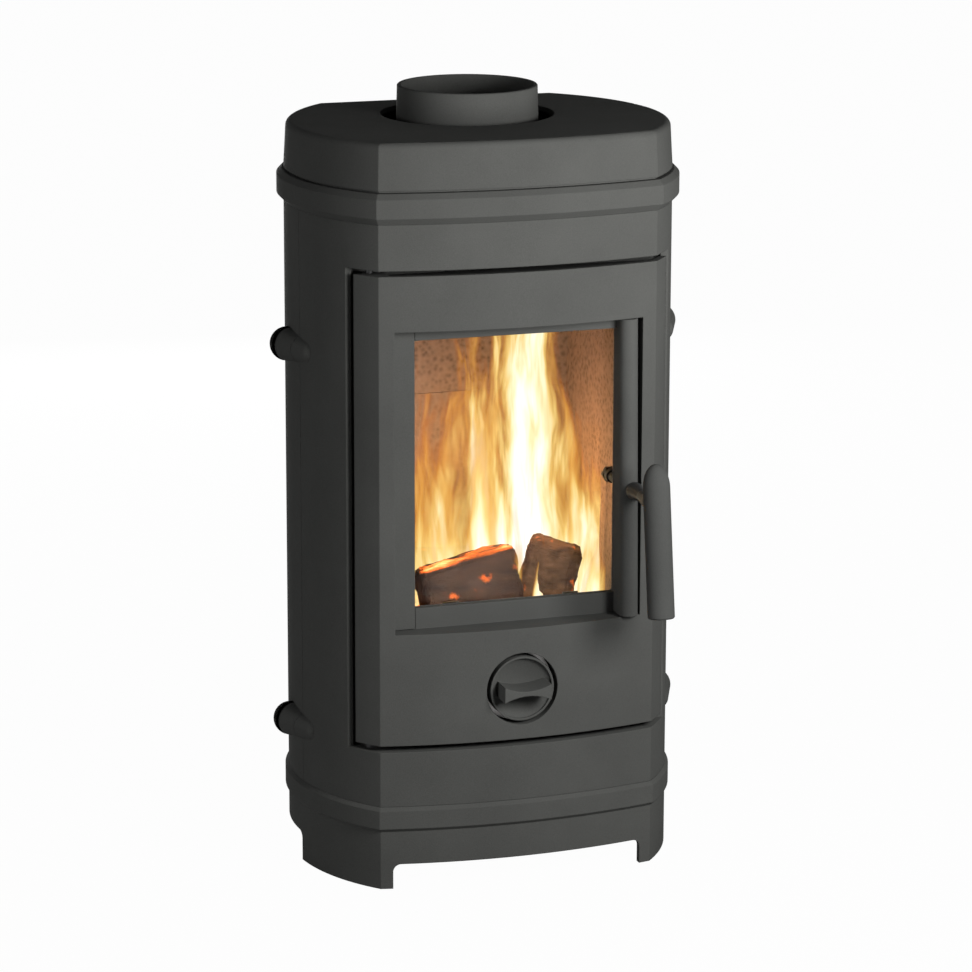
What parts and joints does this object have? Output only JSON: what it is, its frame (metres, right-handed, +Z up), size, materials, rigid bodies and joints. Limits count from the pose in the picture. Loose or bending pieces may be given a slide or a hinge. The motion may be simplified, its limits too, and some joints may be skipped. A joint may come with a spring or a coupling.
{
  "type": "cast iron stove",
  "caption": "Cast iron wood stove with rounded sides, a bowed glazed door, a turning latch handle, a dished air knob and a top flue collar.",
  "frame": {"origin": "on the floor under the middle of the overall box", "axes": "+X to the viewer's right when facing the door, +Y to the rear, +Z up"},
  "size_m": [0.4857, 0.4444, 0.884],
  "materials": {
    "iron_paint": "matte paint over cast grain",
    "handle_paint": "satin",
    "black_steel": "satin",
    "steel": "brushed",
    "raw_iron": "rough",
    "lining": "matte",
    "pan_sheet": "matte",
    "window_glass": "clear",
    "rope": "woven"
  },
  "bodies": {
    "stove": {"base_casting": "iron_paint", "front_shell": "iron_paint", "rear_shell": "iron_paint", "top_plate": "iron_paint", "cap": "iron_paint", "flue_collar": "iron_paint", "tie_bolts": "black_steel", "collar_bolts": "black_steel", "upper_hinge_pin": "black_steel", "lower_hinge_pin": "black_steel", "latch_keeper": "steel", "keeper_screws": "steel", "ash_floor": "raw_iron", "hearth_plate": "raw_iron", "grate": "raw_iron", "log_guard": "raw_iron", "left_liner": "lining", "right_liner": "lining", "rear_liner": "lining", "upper_rear_liner": "lining", "baffle": "lining", "ash_pan": "pan_sheet", "ash_pan_handle": "pan_sheet"},
    "door": {"door": "iron_paint", "latch_column": "iron_paint", "column_screws": "steel", "glass_bar": "iron_paint", "glass_seal": "rope", "glass_pane": "window_glass", "glass_clips": "steel", "clip_screws": "steel", "door_seal": "rope", "air_seat": "steel", "air_seat_screws": "steel"},
    "handle": {"handle_grip": "handle_paint", "latch_spindle": "black_steel", "latch_cam": "black_steel", "latch_nut": "black_steel"},
    "air_control": {"air_knob": "iron_paint", "air_rotor": "steel", "air_nut": "steel"}
  },
  "joints": [
    {"name": "door_hinge", "type": "hinge", "parent": "stove", "child": "door", "pos_m": [-0.164, -0.07481, 0.436], "axis": [0, 0, -1], "range_deg": [0, 95]},
    {"name": "handle_turn", "type": "hinge", "parent": "door", "child": "handle", "pos_m": [0.1335, -0.11381, 0.446], "axis": [0, -1, 0], "range_deg": [0, 90]},
    {"name": "air_knob_turn", "type": "hinge", "parent": "door", "child": "air_control", "pos_m": [0, -0.09881, 0.2273], "axis": [0, -1, 0], "range_deg": [0, 60]}
  ]
}
